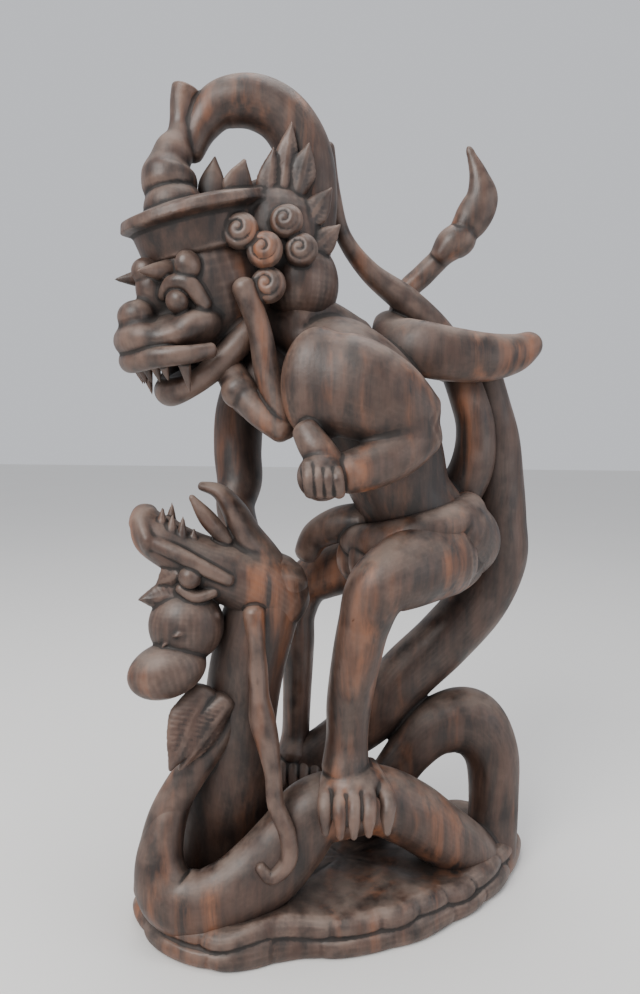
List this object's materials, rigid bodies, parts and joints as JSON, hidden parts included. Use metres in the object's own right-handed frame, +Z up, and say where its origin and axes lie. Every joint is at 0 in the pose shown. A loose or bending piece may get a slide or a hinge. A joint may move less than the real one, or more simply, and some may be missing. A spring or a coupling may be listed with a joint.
{
  "type": "carved monkey warrior figure",
  "caption": "Carved wooden monkey warrior stooping over a coiled crowned serpent, in one piece with its rocky base.",
  "frame": {"origin": "middle of the whole figure's bounding box, on the plane of the base's underside", "axes": "+Z up from the table; -Y towards the viewer of the pictured side; +X to that viewer's right, so the monkey faces -X"},
  "size_m": [0.3168, 0.1856, 0.604],
  "materials": {
    "ebony": "streaked dark ebony, hand carved, worn to a soft gloss with grey dust on what faces up"
  },
  "bodies": {
    "root": {"hanuman_figure": "ebony"}
  },
  "joints": []
}
